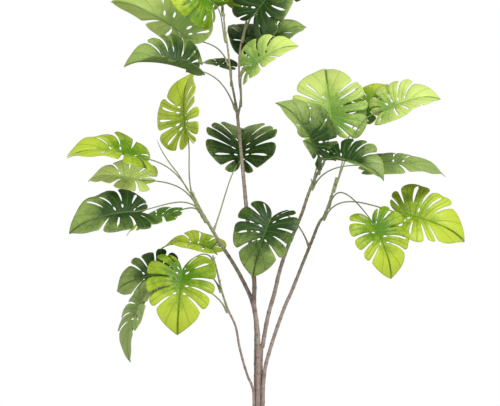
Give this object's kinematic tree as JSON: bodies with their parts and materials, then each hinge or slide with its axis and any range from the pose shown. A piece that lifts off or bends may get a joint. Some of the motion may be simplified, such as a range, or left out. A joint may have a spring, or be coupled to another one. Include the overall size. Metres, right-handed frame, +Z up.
{
  "type": "potted monstera plant",
  "caption": "Tall potted monstera with several thin woody canes and split, heart-shaped leaves on long arching stalks, in a plain tapered clay pot.",
  "frame": {"origin": "centre of the pot's underside, on the surface that it stands on", "axes": "+Z up along the pot's axis, +X to the plant's right seen from its front, and -Y towards the viewer in front"},
  "size_m": [0.9874, 0.4619, 1.4933],
  "materials": {
    "clay": "matt unglazed clay",
    "soil": "loose peat and bark compost",
    "bark": "rough grey-brown bark, greener towards the top",
    "leaf_dark": "dark green leaf, softly glossy on its upper face",
    "leaf_bright": "bright yellow-green leaf, softly glossy on its upper face",
    "leaf_pale": "pale green leaf, satin"
  },
  "bodies": {
    "root": {"pot": "clay", "soil": "soil", "main_cane": "bark", "left_cane": "bark", "far_left_cane": "bark", "right_inner_cane": "bark", "right_outer_cane": "bark", "main_cane_leaf_1": "leaf_pale", "main_cane_leaf_2": "leaf_dark", "main_cane_leaf_3": "leaf_bright", "main_cane_leaf_4": "leaf_dark", "main_cane_leaf_5": "leaf_bright", "main_branch_leaf_1": "leaf_pale", "main_branch_leaf_2": "leaf_dark", "main_branch_leaf_3": "leaf_dark", "main_branch_leaf_4": "leaf_dark", "main_branch_leaf_5": "leaf_dark", "main_branch_leaf_6": "leaf_bright", "left_cane_leaf_1": "leaf_bright", "left_cane_leaf_2": "leaf_dark", "left_cane_leaf_3": "leaf_dark", "left_cane_leaf_4": "leaf_bright", "left_cane_leaf_5": "leaf_pale", "left_cane_leaf_6": "leaf_bright", "left_cane_leaf_7": "leaf_bright", "far_left_cane_leaf_1": "leaf_dark", "far_left_cane_leaf_2": "leaf_dark", "far_left_cane_leaf_3": "leaf_bright", "right_inner_cane_leaf_1": "leaf_dark", "right_inner_cane_leaf_2": "leaf_dark", "right_inner_cane_leaf_3": "leaf_dark", "right_inner_cane_leaf_4": "leaf_pale", "right_outer_cane_leaf_1": "leaf_dark", "right_outer_cane_leaf_2": "leaf_bright", "right_outer_cane_leaf_3": "leaf_bright", "right_outer_cane_leaf_4": "leaf_bright", "right_outer_cane_leaf_5": "leaf_pale", "new_shoot": "leaf_bright"}
  },
  "joints": []
}
